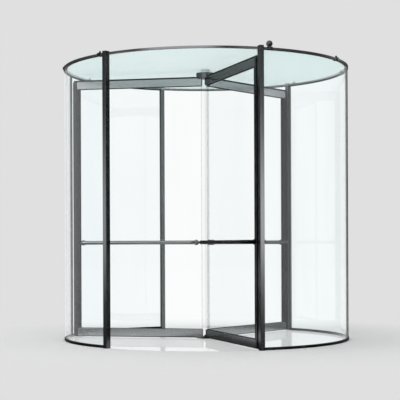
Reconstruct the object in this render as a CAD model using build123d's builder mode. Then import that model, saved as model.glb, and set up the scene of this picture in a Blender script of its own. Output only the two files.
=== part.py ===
from build123d import *
import os
from math import asin, cos, degrees, radians, sin

# Three-wing all-glass revolving door, in millimetres, +Z up.
# The origin is on the finished floor, on the axis that the wings turn about.
# The passage runs along Y: the front entrance faces -Y and the back entrance faces +Y.

# Enclosure: two bent glass walls, four posts, and a glass ceiling in a metal rim
wall_radius = 1390.0
ceiling_height = 2655.0
entrance_angle = 60.0
wall_glass_thickness = 12.0
ceiling_glass_thickness = 12.0
glass_play = 0.5
pane_joint = 4.0

base_track_height = 20.0
base_track_side = 8.5
base_track_floor = 6.0

rim_side = 8.5
rim_slot_depth = 4.0
rim_ledge = 2.0
rim_lip = 1.5

post_width = 42.0
post_depth = 56.0
post_outset = 14.0
post_slot_depth = 15.0
post_rise = 10.0
post_corner = 4.0
post_top_edge = 1.0

clamp_width = 46.0
clamp_reach = 30.0
clamp_thickness = 6.0
clamp_nut_radius = 10.0
clamp_nut_height = 16.0
clamp_nut_rounding = 6.0
clamp_leg_width = 34.0
clamp_leg_thickness = 8.0
clamp_lug_reach = 8.0
clamp_lug_drop = 5.0
clamp_end_angle = 3.75
clamps_per_wall = 4

# Bearings: a boss under the ceiling and a pivot on the floor
boss_radius = 44.0
boss_gap = 5.0
boss_neck_radius = 34.0
cap_radius = 46.0
cap_thickness = 8.0
pin_radius = 22.0
pin_length = 22.0
pin_play = 0.3
pivot_radius = 60.0
pivot_pin_rise = 20.0

# Rotor: three wings between a top hub and a foot plate
wing_count = 3
wing_rest_angle = 180.0
wing_thickness = 46.0
wing_glass_thickness = 12.0
wing_glass_bite = 15.0
wing_glass_headroom = 2.0
wing_floor_gap = 14.0
wing_ceiling_gap = 69.0
wing_wall_gap = 29.0
wing_corner = 2.0
top_rail_height = 74.0
bottom_rail_height = 76.0
stile_width = 36.0
channel_width = 26.0
channel_thickness = 40.0
rail_hub_gap = 38.0
glass_hub_gap = 42.0

hub_radius = 92.0
hub_thickness = 50.0
foot_radius = 100.0
foot_thickness = 8.0

brush_thickness = 10.0
top_brush_thickness = 36.0
top_brush_height = 18.0
bottom_brush_height = 9.0
edge_brush_width = 14.0
brush_hub_clearance = 5.0

# Push bars: a round tube on each side of each wing, carried by its own turned ends
bar_height = 954.0
bar_radius = 19.0
bar_standoff = 105.0
bar_bend = 45.0
bar_inner_radius = 100.0
bar_channel_clearance = 27.0
rosette_radius = 25.0
rosette_thickness = 8.0

# Movement sensor on the rim, in the place of the clamp nearest the front right post
sensor_ball_radius = 29.0
sensor_flat_drop = 22.0
saddle_leg_width = 12.0
saddle_leg_thickness = 6.0
saddle_neck_radius = 14.0
saddle_neck_height = 6.0

# Heights that the pieces share
ceiling_top = ceiling_height + ceiling_glass_thickness
rim_bottom = ceiling_height - rim_ledge - rim_slot_depth
rim_top = ceiling_top + rim_lip
wall_glass_top = ceiling_height - rim_ledge - glass_play
wing_top = ceiling_height - wing_ceiling_gap
wing_sight_bottom = wing_floor_gap + bottom_rail_height
wing_sight_top = wing_top - top_rail_height
wing_glass_bottom = wing_sight_bottom - wing_glass_bite
wing_glass_top = wing_sight_top + wing_glass_bite

# Radii that the pieces share
wall_inside = wall_radius - wall_glass_thickness / 2
wall_outside = wall_radius + wall_glass_thickness / 2
rim_inside = wall_inside - glass_play - rim_side
rim_outside = wall_outside + glass_play + rim_side
post_radius = wall_radius + post_outset
wing_outside = wall_inside - wing_wall_gap
stile_inside = wing_outside - stile_width
channel_inside = stile_inside - channel_width

# Angles, counter-clockwise from +X
wall_half_angle = (180.0 - entrance_angle) / 2
wall_centres = {"right": 0.0, "left": 180.0}
entrance_centres = {"front": 270.0, "back": 90.0}
posts = {
    "front_right": (-wall_half_angle, 1),
    "back_right": (wall_half_angle, -1),
    "back_left": (180.0 - wall_half_angle, 1),
    "front_left": (180.0 + wall_half_angle, -1),
}
wings = {f"wing_{n + 1}": wing_rest_angle + n * 360.0 / wing_count for n in range(wing_count)}

# Slots that are cut for the two kinds of glass
wall_slot = wall_glass_thickness + 2 * glass_play
wing_slot = wing_glass_thickness + 2 * glass_play


def direction(angle):
    """Unit vector in plan at an angle from +X."""
    return Vector(cos(radians(angle)), sin(radians(angle)), 0)


def plan_plane(angle, height=0.0):
    """Level plane on the door's axis, with its x along the angle."""
    return Plane(origin=(0, 0, height), x_dir=direction(angle), z_dir=(0, 0, 1))


def section_plane(angle):
    """Upright plane through the door's axis, with its x outwards along the angle and its y up."""
    return Plane(origin=(0, 0, 0), x_dir=direction(angle), z_dir=direction(angle - 90.0))


def end_plane(angle, radius, height):
    """Upright plane that faces outwards at a radius, with its y up."""
    origin = direction(angle) * radius + Vector(0, 0, height)
    return Plane(origin=origin, x_dir=direction(angle + 90.0), z_dir=direction(angle))


def side_plane(angle, radius, offset, height):
    """Upright plane beside a wing, facing away from the wing's glass."""
    outwards = direction(angle + (90.0 if offset > 0 else -90.0))
    origin = direction(angle) * radius + outwards * abs(offset) + Vector(0, 0, height)
    return Plane(origin=origin, x_dir=direction(angle), z_dir=outwards)


def subtended(length, radius):
    """Angle at the door's axis of a short length square to the radius."""
    return degrees(asin(length / radius))


def write(part, name):
    part.label = name
    export_step(part, f"parts/{name}.step")


os.makedirs("parts", exist_ok=True)

# Base tracks: a floor channel under each bent wall, between its two posts
base_track_inside = wall_inside - glass_play - base_track_side
base_track_outside = wall_outside + glass_play + base_track_side
base_track_slot = base_track_height - base_track_floor
track_end = subtended(post_width / 2, base_track_inside)

for side, centre in wall_centres.items():
    with BuildPart() as base_track:
        with BuildSketch(section_plane(centre - wall_half_angle + track_end)):
            with Locations((wall_radius, base_track_height / 2)):
                Rectangle(base_track_outside - base_track_inside, base_track_height)
            with Locations((wall_radius, base_track_height - base_track_slot / 2)):
                Rectangle(wall_slot, base_track_slot, mode=Mode.SUBTRACT)
        revolve(axis=Axis.Z, revolution_arc=2 * (wall_half_angle - track_end))
    write(base_track.part, f"{side}_base_track")

# Wall glass: two bent panes in each wall, standing in the track and slotted into the posts
pane_end = subtended(post_width / 2 - post_slot_depth + glass_play, wall_inside)
pane_joint_half = subtended(pane_joint / 2, wall_inside)
pane_height = wall_glass_top - base_track_floor

for side, centre in wall_centres.items():
    for number, start in ((1, pane_end - wall_half_angle), (2, pane_joint_half)):
        with BuildPart() as wall_glass:
            with BuildSketch(section_plane(centre + start)):
                with Locations((wall_radius, base_track_floor + pane_height / 2)):
                    Rectangle(wall_glass_thickness, pane_height)
            revolve(axis=Axis.Z, revolution_arc=wall_half_angle - pane_end - pane_joint_half)
        write(wall_glass.part, f"{side}_wall_glass_{number}")

# Posts: closed profiles at the wall ends, slotted for the glass up to the pane's top edge
for name, (angle, wall_side) in posts.items():
    with BuildPart() as post:
        with BuildSketch(plan_plane(angle)):
            with Locations((post_radius, 0)):
                RectangleRounded(post_depth, post_width, post_corner)
        extrude(amount=rim_top + post_rise)
        chamfer(post.faces().sort_by(Axis.Z)[-1].edges(), post_top_edge)
        with BuildSketch(plan_plane(angle)):
            with Locations((wall_radius, wall_side * (post_width - post_slot_depth) / 2)):
                Rectangle(wall_slot, post_slot_depth)
        extrude(amount=wall_glass_top + glass_play, mode=Mode.SUBTRACT)
    write(post.part, f"{name}_post")

# Ceiling rim: arcs over the walls, slotted for their glass, and plain arcs over the entrances
rim_end = subtended(post_width / 2, rim_inside)
rim_height = rim_top - rim_bottom
rebate_height = rim_top - ceiling_height
rebate_width = wall_outside + glass_play - rim_inside
rim_arcs = [(side, centre, wall_half_angle) for side, centre in wall_centres.items()]
rim_arcs += [(side, centre, entrance_angle / 2) for side, centre in entrance_centres.items()]

for side, centre, half_angle in rim_arcs:
    with BuildPart() as rim:
        with BuildSketch(section_plane(centre - half_angle + rim_end)):
            with Locations((wall_radius, rim_bottom + rim_height / 2)):
                Rectangle(rim_outside - rim_inside, rim_height)
            with Locations((rim_inside + rebate_width / 2, ceiling_height + rebate_height / 2)):
                Rectangle(rebate_width, rebate_height, mode=Mode.SUBTRACT)
            if side in wall_centres:
                with Locations((wall_radius, rim_bottom + rim_slot_depth / 2)):
                    Rectangle(wall_slot, rim_slot_depth, mode=Mode.SUBTRACT)
        revolve(axis=Axis.Z, revolution_arc=2 * (half_angle - rim_end))
    write(rim.part, f"{side}_rim")

# Ceiling glass: one round pane on the rim's ledge, notched round the posts, with a hole for the boss
with BuildPart() as ceiling_glass:
    with BuildSketch(Plane.XY.offset(ceiling_height)):
        Circle(wall_outside)
        Circle(boss_neck_radius + glass_play, mode=Mode.SUBTRACT)
    extrude(amount=ceiling_glass_thickness)
    for angle, wall_side in posts.values():
        with BuildSketch(plan_plane(angle, ceiling_height)):
            with Locations((post_radius, 0)):
                Rectangle(post_depth + 2 * glass_play, post_width + 2 * glass_play)
        extrude(amount=ceiling_glass_thickness, mode=Mode.SUBTRACT)
write(ceiling_glass.part, "ceiling_glass")

# Ceiling clamps: plates with a cap nut that hold the ceiling glass down on the rim, each with a leg
# down the rim's outside and a lug under the glass
clamp_half_angle = wall_half_angle - clamp_end_angle
clamp_step = 2 * clamp_half_angle / (clamps_per_wall - 1)
clamp_pad_reach = clamp_reach - (rim_outside - wall_outside)
clamp_middle = rim_outside - clamp_reach / 2
clamp_top = rim_top + clamp_thickness
clamp_angles = {
    side: [centre - clamp_half_angle + n * clamp_step for n in range(clamps_per_wall)]
    for side, centre in wall_centres.items()
}
sensor_place = clamp_angles["right"].pop(0)


def clamp_plate(angle):
    """A clamp's pad on the ceiling glass and its plate over the rim's lip."""
    with BuildPart() as plate:
        with BuildSketch(plan_plane(angle, ceiling_top)):
            with Locations((wall_outside - clamp_pad_reach / 2, 0)):
                Rectangle(clamp_pad_reach, clamp_width)
        extrude(amount=rim_lip)
        with BuildSketch(plan_plane(angle, rim_top)):
            with Locations((clamp_middle, 0)):
                Rectangle(clamp_reach, clamp_width)
        extrude(amount=clamp_thickness)
    return plate.part


lug_bottom = rim_bottom - clamp_lug_drop
lug_half_angle = subtended(clamp_leg_width / 2, rim_inside)

for side, angles in clamp_angles.items():
    plates = [clamp_plate(angle) for angle in angles]
    with BuildPart() as clamps:
        for angle, plate in zip(angles, plates):
            add(plate)
            with BuildSketch(plan_plane(angle, rim_bottom)):
                with Locations((rim_outside + clamp_leg_thickness / 2, 0)):
                    Rectangle(clamp_leg_thickness, clamp_leg_width)
            extrude(amount=clamp_top - rim_bottom)
            with BuildSketch(section_plane(angle - lug_half_angle)):
                with Locations((rim_inside - clamp_lug_reach / 2, (lug_bottom + ceiling_height) / 2)):
                    Rectangle(clamp_lug_reach, ceiling_height - lug_bottom)
            revolve(axis=Axis.Z, revolution_arc=2 * lug_half_angle)
            with BuildSketch(plan_plane(angle, clamp_top)):
                with Locations((clamp_middle, 0)):
                    Circle(clamp_nut_radius)
            extrude(amount=clamp_nut_height)
            fillet(clamps.faces(Select.LAST).sort_by(Axis.Z)[-1].edges(), clamp_nut_rounding)
    write(clamps.part, f"{side}_ceiling_clamps")

# Ceiling boss: the fixed drum that takes the rotor's upper pin, with a neck up through the glass
hub_top = wing_top + hub_thickness
boss_bottom = hub_top + boss_gap
bore_depth = hub_top + pin_length + boss_gap - boss_bottom

with BuildPart() as ceiling_boss:
    with BuildSketch(Plane.XY.offset(boss_bottom)):
        Circle(boss_radius)
    extrude(amount=ceiling_height - boss_bottom)
    with BuildSketch(Plane.XY.offset(ceiling_height)):
        Circle(boss_neck_radius)
    extrude(amount=ceiling_glass_thickness)
    with BuildSketch(Plane.XY.offset(boss_bottom)):
        Circle(pin_radius + pin_play)
    extrude(amount=bore_depth, mode=Mode.SUBTRACT)
write(ceiling_boss.part, "ceiling_boss")

# Ceiling cap: the plate above the glass that the boss is drawn up against
with BuildPart() as ceiling_cap:
    with BuildSketch(Plane.XY.offset(ceiling_top)):
        Circle(cap_radius)
    extrude(amount=cap_thickness)
    fillet(ceiling_cap.faces().sort_by(Axis.Z)[-1].edges(), cap_thickness / 3)
write(ceiling_cap.part, "ceiling_cap")

# Floor pivot: a flange on the floor with the pin that the rotor's foot plate turns on
foot_bottom = wing_floor_gap - foot_thickness
pivot_thickness = foot_bottom - pin_play

with BuildPart() as floor_pivot:
    with BuildSketch():
        Circle(pivot_radius)
    extrude(amount=pivot_thickness)
    with BuildSketch(Plane.XY.offset(pivot_thickness)):
        Circle(pin_radius)
    extrude(amount=pin_play + foot_thickness + pivot_pin_rise)
write(floor_pivot.part, "floor_pivot")

# Sensor saddle: a clamp with two legs down the rim's outside and a short neck
neck_top = clamp_top + saddle_neck_height

saddle_plate = clamp_plate(sensor_place)
with BuildPart() as sensor_saddle:
    add(saddle_plate)
    with BuildSketch(plan_plane(sensor_place, rim_bottom)):
        leg_offset = (clamp_width - saddle_leg_width) / 2
        with Locations(*[(rim_outside + saddle_leg_thickness / 2, y) for y in (leg_offset, -leg_offset)]):
            Rectangle(saddle_leg_thickness, saddle_leg_width)
    extrude(amount=clamp_top - rim_bottom)
    with BuildSketch(plan_plane(sensor_place, clamp_top)):
        with Locations((clamp_middle, 0)):
            Circle(saddle_neck_radius)
    extrude(amount=saddle_neck_height)
write(sensor_saddle.part, "sensor_saddle")

# Movement sensor: a ball with a flat seat on the saddle's neck
ball_middle = neck_top + sensor_flat_drop
ball_box = 2 * sensor_ball_radius

with BuildPart() as movement_sensor:
    with BuildSketch(section_plane(sensor_place)):
        with Locations((clamp_middle, ball_middle)):
            Circle(sensor_ball_radius)
            Rectangle(ball_box, ball_box, align=(Align.MAX, Align.CENTER), mode=Mode.SUBTRACT)
        with Locations((clamp_middle, neck_top)):
            Rectangle(ball_box, ball_box, align=(Align.MIN, Align.MAX), mode=Mode.SUBTRACT)
    revolve(axis=Axis(direction(sensor_place) * clamp_middle, (0, 0, 1)))
write(movement_sensor.part, "movement_sensor")

# Top hub: a disc on the top rails, with the pin that runs in the ceiling boss
with BuildPart() as top_hub:
    with BuildSketch(Plane.XY.offset(wing_top)):
        Circle(hub_radius)
    extrude(amount=hub_thickness)
    with BuildSketch(Plane.XY.offset(hub_top)):
        Circle(pin_radius)
    extrude(amount=pin_length)
write(top_hub.part, "top_hub")

# Foot plate: a thin disc under the bottom rails, bored for the floor pivot's pin
with BuildPart() as foot_plate:
    with BuildSketch(Plane.XY.offset(foot_bottom)):
        Circle(foot_radius)
        Circle(pin_radius + pin_play, mode=Mode.SUBTRACT)
    extrude(amount=foot_thickness)
write(foot_plate.part, "foot_plate")

# Wings: rails, stile and channel round a glass pane, with push bars and brushes
rail_length = stile_inside - rail_hub_gap
glass_outside = channel_inside + wing_glass_bite
top_slot = wing_glass_bite + wing_glass_headroom
channel_slot = wing_glass_bite + glass_play
bar_outer_radius = channel_inside - bar_channel_clearance
wing_glass_face = wing_glass_thickness / 2

for wing, angle in wings.items():
    with BuildPart() as top_rail:
        with BuildSketch(end_plane(angle, rail_hub_gap, wing_sight_top)):
            with Locations((0, top_rail_height / 2)):
                RectangleRounded(wing_thickness, top_rail_height, wing_corner)
            with Locations((0, top_slot / 2)):
                Rectangle(wing_slot, top_slot, mode=Mode.SUBTRACT)
        extrude(amount=rail_length)
    write(top_rail.part, f"{wing}_top_rail")

    with BuildPart() as bottom_rail:
        with BuildSketch(end_plane(angle, rail_hub_gap, wing_floor_gap)):
            with Locations((0, bottom_rail_height / 2)):
                RectangleRounded(wing_thickness, bottom_rail_height, wing_corner)
            with Locations((0, bottom_rail_height - wing_glass_bite / 2)):
                Rectangle(wing_slot, wing_glass_bite, mode=Mode.SUBTRACT)
        extrude(amount=rail_length)
    write(bottom_rail.part, f"{wing}_bottom_rail")

    with BuildPart() as stile:
        with BuildSketch(plan_plane(angle, wing_floor_gap)):
            with Locations((wing_outside - stile_width / 2, 0)):
                RectangleRounded(stile_width, wing_thickness, wing_corner)
        extrude(amount=wing_top - wing_floor_gap)
    write(stile.part, f"{wing}_stile")

    with BuildPart() as channel:
        with BuildSketch(plan_plane(angle, wing_sight_bottom)):
            with Locations((channel_inside + channel_width / 2, 0)):
                Rectangle(channel_width, channel_thickness)
            with Locations((channel_inside + channel_slot / 2, 0)):
                Rectangle(channel_slot, wing_slot, mode=Mode.SUBTRACT)
        extrude(amount=wing_sight_top - wing_sight_bottom)
    write(channel.part, f"{wing}_glazing_channel")

    with BuildPart() as glass:
        with BuildSketch(plan_plane(angle, wing_glass_bottom)):
            with Locations(((glass_hub_gap + glass_outside) / 2, 0)):
                Rectangle(glass_outside - glass_hub_gap, wing_glass_thickness)
        extrude(amount=wing_glass_top - wing_glass_bottom)
    write(glass.part, f"{wing}_glass")

    with BuildPart() as push_bars:
        for side in (1, -1):
            bar_ends = (bar_inner_radius, bar_outer_radius)
            with BuildLine(plan_plane(angle, bar_height)):
                FilletPolyline(
                    (bar_ends[0], side * wing_glass_face),
                    (bar_ends[0], side * bar_standoff),
                    (bar_ends[1], side * bar_standoff),
                    (bar_ends[1], side * wing_glass_face),
                    radius=bar_bend,
                )
            with BuildSketch(side_plane(angle, bar_ends[0], side * wing_glass_face, bar_height)):
                Circle(bar_radius)
            sweep()
            for radius in bar_ends:
                with BuildSketch(side_plane(angle, radius, side * wing_glass_face, bar_height)):
                    Circle(rosette_radius)
                extrude(amount=rosette_thickness)
    write(push_bars.part, f"{wing}_push_bars")

    with BuildPart() as brushes:
        top_brush_start = hub_radius + brush_hub_clearance
        with BuildSketch(plan_plane(angle, wing_top)):
            with Locations(((top_brush_start + wing_outside) / 2, 0)):
                Rectangle(wing_outside - top_brush_start, top_brush_thickness)
        extrude(amount=top_brush_height)
        bottom_brush_start = foot_radius + brush_hub_clearance
        with BuildSketch(plan_plane(angle, wing_floor_gap - bottom_brush_height)):
            with Locations(((bottom_brush_start + wing_outside) / 2, 0)):
                Rectangle(wing_outside - bottom_brush_start, brush_thickness)
        extrude(amount=bottom_brush_height)
        with BuildSketch(plan_plane(angle, wing_floor_gap)):
            with Locations((wing_outside + edge_brush_width / 2, 0)):
                Rectangle(edge_brush_width, brush_thickness)
        extrude(amount=wing_top - wing_floor_gap)
    write(brushes.part, f"{wing}_brushes")
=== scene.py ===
# %% [markdown]
# # A three-wing glass revolving door
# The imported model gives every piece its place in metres, with +Z up and the wings turning about the
# origin's upright axis. Loading it first means that each later step only has to dress what is there.

# %% Load the frame
import math

import bmesh
import bpy
from mathutils import Matrix, Vector


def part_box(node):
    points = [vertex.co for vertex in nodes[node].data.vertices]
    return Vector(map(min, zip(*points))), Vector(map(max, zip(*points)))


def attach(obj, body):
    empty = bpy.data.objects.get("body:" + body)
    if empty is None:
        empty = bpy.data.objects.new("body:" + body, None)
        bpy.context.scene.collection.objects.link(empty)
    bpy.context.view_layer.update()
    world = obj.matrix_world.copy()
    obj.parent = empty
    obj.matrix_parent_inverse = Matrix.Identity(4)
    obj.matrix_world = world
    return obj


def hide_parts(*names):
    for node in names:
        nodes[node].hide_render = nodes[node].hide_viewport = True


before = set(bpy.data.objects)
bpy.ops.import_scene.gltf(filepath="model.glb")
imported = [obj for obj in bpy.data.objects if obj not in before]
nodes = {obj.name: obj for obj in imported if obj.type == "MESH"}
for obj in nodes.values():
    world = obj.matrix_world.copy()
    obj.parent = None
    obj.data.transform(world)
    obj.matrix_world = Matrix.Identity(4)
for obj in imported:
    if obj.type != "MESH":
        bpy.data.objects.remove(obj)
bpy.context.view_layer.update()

scene = bpy.context.scene

# %% [markdown]
# ## The camera
# The door is seen from a little over eleven metres away, at chest height and ten degrees to the right of
# the passage. A level camera with some lens shift keeps all the posts upright, while a tilted camera would
# make them lean together. It is turned a touch to the left of the axis, which draws the right wall a little
# larger than the left one. The numbers were fitted to the posts, the rim and the tracks.

# %% Camera
FRAME_PIXELS = 400
FOCAL_PIXELS = 1132.9
SENSOR_WIDTH = 36.0
CAMERA_DISTANCE = 11.28
CAMERA_HEIGHT = 0.935
CAMERA_AZIMUTH = math.radians(9.77)
CAMERA_YAW = math.radians(1.2)
CAMERA_ROLL = math.radians(-0.22)
PRINCIPAL_X, PRINCIPAL_Y = 182.40, 244.36

camera_data = bpy.data.cameras.new("camera")
camera_data.sensor_width = SENSOR_WIDTH
camera_data.lens = FOCAL_PIXELS / FRAME_PIXELS * SENSOR_WIDTH
camera_data.shift_x = -(PRINCIPAL_X - FRAME_PIXELS / 2) / FRAME_PIXELS
camera_data.shift_y = (PRINCIPAL_Y - FRAME_PIXELS / 2) / FRAME_PIXELS
camera = bpy.data.objects.new("camera", camera_data)
scene.collection.objects.link(camera)
step_back = Matrix.Translation((0, -CAMERA_DISTANCE, CAMERA_HEIGHT))
camera_place = Matrix.Rotation(CAMERA_AZIMUTH, 4, "Z") @ step_back
level_view = Matrix.Rotation(CAMERA_YAW, 4, "Z") @ Matrix.Rotation(math.radians(90), 4, "X")
camera.matrix_world = camera_place @ level_view @ Matrix.Rotation(CAMERA_ROLL, 4, "Z")
scene.camera = camera
scene.view_settings.view_transform = "Standard"
print("lens:", round(camera_data.lens, 1), "mm, shift:", camera_data.shift_x, camera_data.shift_y)

# %% [markdown]
# ## Node helpers
# Every finish below is a small node tree. Two helpers do the work: one fills a socket with a value or a
# link, the other adds a node and fills its sockets by name or by place. Each tree could be written out in
# full, but then it would be hard to read.

# %% Node helpers
def set_socket(tree, socket, value):
    """Fill one input with a value or with a link from another node."""
    if isinstance(value, bpy.types.NodeSocket):
        tree.links.new(value, socket)
    else:
        socket.default_value = value


def add_node(tree, kind, settings=None, **sockets):
    """A new node. Sockets are given by name, or by place as input0, input1 and so on."""
    node = tree.nodes.new(kind)
    for name, value in (settings or {}).items():
        setattr(node, name, value)
    for name, value in sockets.items():
        by_place = name.startswith("input")
        socket = int(name.removeprefix("input")) if by_place else name.replace("_", " ")
        set_socket(tree, node.inputs[socket], value)
    return node


print("node helpers ready")

# %% [markdown]
# The same few kinds of node come back again and again. First come sums on numbers and vectors, and an eased
# ramp between two limits. Each gets a short name that returns its result, so that a finish reads like a
# formula.

# %% Sums and ramps
def math_node(tree, operation, first, second=0.0, third=0.0):
    """A Math node's result."""
    settings = {"operation": operation}
    node = add_node(tree, "ShaderNodeMath", settings, input0=first, input1=second, input2=third)
    return node.outputs[0]


def vector_node(tree, operation, first, second=(0.0, 0.0, 0.0)):
    """A Vector Math node's outputs: the vector comes first, and a number is under Value."""
    settings = {"operation": operation}
    return add_node(tree, "ShaderNodeVectorMath", settings, input0=first, input1=second).outputs


def axes_of(tree, vector):
    """A vector's X, Y and Z."""
    return add_node(tree, "ShaderNodeSeparateXYZ", Vector=vector).outputs


def ramp(tree, value, low, high, low_result=0.0, high_result=1.0):
    """A value eased from one result to another between two limits."""
    node = add_node(tree, "ShaderNodeMapRange", {"interpolation_type": "SMOOTHSTEP"}, Value=value,
                    From_Min=low, From_Max=high, To_Min=low_result, To_Max=high_result)
    return node.outputs[0]


print("sums and ramps ready")

# %% [markdown]
# Then come the mixes of numbers, colours and shaders, and what a pattern is made from: noise, stretched
# coordinates, and the place of a point on the door. That place is the object's own, so a pattern rides along
# when the wings turn.

# %% Mixes and patterns
def mix_value(tree, factor, first, second):
    """Two numbers mixed by a factor."""
    return add_node(tree, "ShaderNodeMix", input0=factor, input2=first, input3=second).outputs[0]


def mix_colour(tree, factor, first, second):
    """Two colours mixed by a factor."""
    settings = {"data_type": "RGBA"}
    node = add_node(tree, "ShaderNodeMix", settings, input0=factor, input6=first, input7=second)
    return node.outputs[2]


def mix_shader(tree, factor, first, second):
    """Two shaders mixed by a factor."""
    node = add_node(tree, "ShaderNodeMixShader", input0=factor, input1=first, input2=second)
    return node.outputs[0]


def noise(tree, place, scale, detail=2.0):
    """A noise pattern's strength."""
    return add_node(tree, "ShaderNodeTexNoise", Vector=place, Scale=scale, Detail=detail).outputs[0]


def stretch(tree, place, *scale):
    """Coordinates scaled differently along each axis."""
    return add_node(tree, "ShaderNodeMapping", Vector=place, Scale=scale).outputs[0]


def object_place(tree):
    """Where a point lies on the door, in metres."""
    return add_node(tree, "ShaderNodeTexCoord").outputs["Object"]


print("mixes and patterns ready")

# %% [markdown]
# A new material comes with a Principled shader on its output. Where a surface glows or lets light through,
# a mix of shaders takes that place.

# %% Material helpers
WHITE = (1, 1, 1, 1)


def start_material(name):
    """A material with a Principled shader on its output, its tree and that shader."""
    material = bpy.data.materials.new(name)
    material.use_nodes = True
    tree = material.node_tree
    return material, tree, tree.nodes["Principled BSDF"]


def set_surface(tree, shader_output):
    """Put one shader on the material's output."""
    tree.links.new(shader_output, tree.nodes["Material Output"].inputs["Surface"])


def white_glow(tree, strength):
    """Plain white light of one strength."""
    return add_node(tree, "ShaderNodeEmission", Color=WHITE, Strength=strength).outputs[0]


def clear_film(tree, tint):
    """A tinted film that light passes straight through."""
    return add_node(tree, "ShaderNodeBsdfTransparent", Color=tint).outputs[0]


print("material helpers ready")

# %% [markdown]
# ## The studio
# Glass and dark metal have little colour of their own: they show what stands round them. So the mirror
# images on metal come from a sky of soft panels. Low on the left and on the right, a short strip draws a
# streak of light down each post. A broad upright panel in front is for the rails, and a dimmer one overhead
# is for what faces up. Lamps could stand in for them, but panels in the sky throw no shadows of their own.

# %% Sky
world = bpy.data.worlds.new("studio")
scene.world = world
world.use_nodes = True
world.cycles.sampling_method = "NONE"
sky = world.node_tree
sky.nodes.clear()
ray_direction = add_node(sky, "ShaderNodeTexCoord").outputs["Generated"]
ray_height = axes_of(sky, ray_direction)["Z"]


def panel(direction, centre, edge, core, light):
    """A soft panel of light: it starts at an edge round its centre and is full at its core."""
    closeness = vector_node(sky, "DOT_PRODUCT", direction, centre)["Value"]
    return ramp(sky, closeness, edge, core, 0.0, light)


print("sky started:", world.name)

# %% [markdown]
# The two strips are bright at one low level only, and nearly dark above and below it. So a post mirrors them
# as a streak that is brightest near half its height and fades towards its ends.

# %% Strips of light
LEFT_STRIP = (-0.965, -0.263, 0.0)
LEFT_STRIP_LIGHT = 2.6
RIGHT_STRIP = (0.768, -0.64, 0.0)
RIGHT_STRIP_LIGHT = 4.8
STRIP_EDGE, STRIP_CORE = 0.88, 0.98
STRIP_LEVEL = 0.022
STRIP_HALF, STRIP_FADE = 0.012, 0.10
STRIP_BEYOND = 0.035
left_strip = panel(ray_direction, LEFT_STRIP, STRIP_EDGE, STRIP_CORE, LEFT_STRIP_LIGHT)
right_strip = panel(ray_direction, RIGHT_STRIP, STRIP_EDGE, STRIP_CORE, RIGHT_STRIP_LIGHT)
strips = math_node(sky, "ADD", left_strip, right_strip)
off_level = math_node(sky, "ABSOLUTE", math_node(sky, "SUBTRACT", ray_height, STRIP_LEVEL))
low_band = ramp(sky, off_level, STRIP_HALF, STRIP_FADE, 1.0, STRIP_BEYOND)
print("strips of light: left", LEFT_STRIP_LIGHT, "right", RIGHT_STRIP_LIGHT)

# %% [markdown]
# The front panel is upright, so its sides are found on the compass alone and its top by the height. The one
# overhead is round. A dim rest keeps the metal from going pure black where it mirrors neither.

# %% Broad panels
FRONT_PANEL = (-0.17, -0.985, 0.0)
FRONT_EDGE, FRONT_CORE = 0.80, 0.97
FRONT_TOP, FRONT_END = 0.75, 0.95
FRONT_LIGHT = 1.20
OVERHEAD = (0.0, 0.0, 1.0)
OVERHEAD_EDGE, OVERHEAD_CORE = 0.35, 0.9
OVERHEAD_LIGHT = 0.6
DIM_SKY = 0.08
level_direction = vector_node(sky, "MULTIPLY", ray_direction, (1.0, 1.0, 0.0))[0]
compass = vector_node(sky, "NORMALIZE", level_direction)[0]
front_sides = panel(compass, FRONT_PANEL, FRONT_EDGE, FRONT_CORE, FRONT_LIGHT)
below_top = ramp(sky, ray_height, FRONT_TOP, FRONT_END, 1.0, 0.0)
front_panel = math_node(sky, "MULTIPLY", front_sides, below_top)
overhead = panel(ray_direction, OVERHEAD, OVERHEAD_EDGE, OVERHEAD_CORE, OVERHEAD_LIGHT)
panels = math_node(sky, "ADD", front_panel, overhead)
mirror_light = math_node(sky, "MULTIPLY_ADD", strips, low_band, panels)
mirror_light = math_node(sky, "ADD", mirror_light, DIM_SKY)
print("broad panels: front", FRONT_LIGHT, "overhead", OVERHEAD_LIGHT)

# %% [markdown]
# One sky can't serve every ray. What is seen through glass is plain white, what the camera sees beside the
# door is plain pale grey, a sharp mirror image in glass is pale, and diffuse light is even. The Light Path
# node tells which kind of ray is asking, so each gets its own brightness.

# %% Sky for each ray
PALE_GREY = 0.745
WHITE_BEHIND_GLASS = 0.99
PALE_IN_GLASS = 0.85
EVEN_LIGHT = 0.90


def light_path(tree):
    """What kind of ray is asking."""
    return add_node(tree, "ShaderNodeLightPath").outputs


def seen_through_glass(tree, rays):
    """1 for a camera ray that has passed at least one face of glass."""
    passed = math_node(tree, "GREATER_THAN", rays["Transparent Depth"], 0.5)
    return math_node(tree, "MULTIPLY", rays["Is Camera Ray"], passed)


rays = light_path(sky)
strength = mix_value(sky, rays["Is Singular Ray"], mirror_light, PALE_IN_GLASS)
strength = mix_value(sky, rays["Is Diffuse Ray"], strength, EVEN_LIGHT)
backdrop = mix_value(sky, seen_through_glass(sky, rays), PALE_GREY, WHITE_BEHIND_GLASS)
strength = mix_value(sky, rays["Is Camera Ray"], strength, backdrop)
background = add_node(sky, "ShaderNodeBackground", Color=WHITE, Strength=strength)
add_node(sky, "ShaderNodeOutputWorld", Surface=background.outputs[0])
print("backdrop:", PALE_GREY, "behind glass:", WHITE_BEHIND_GLASS)
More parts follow.
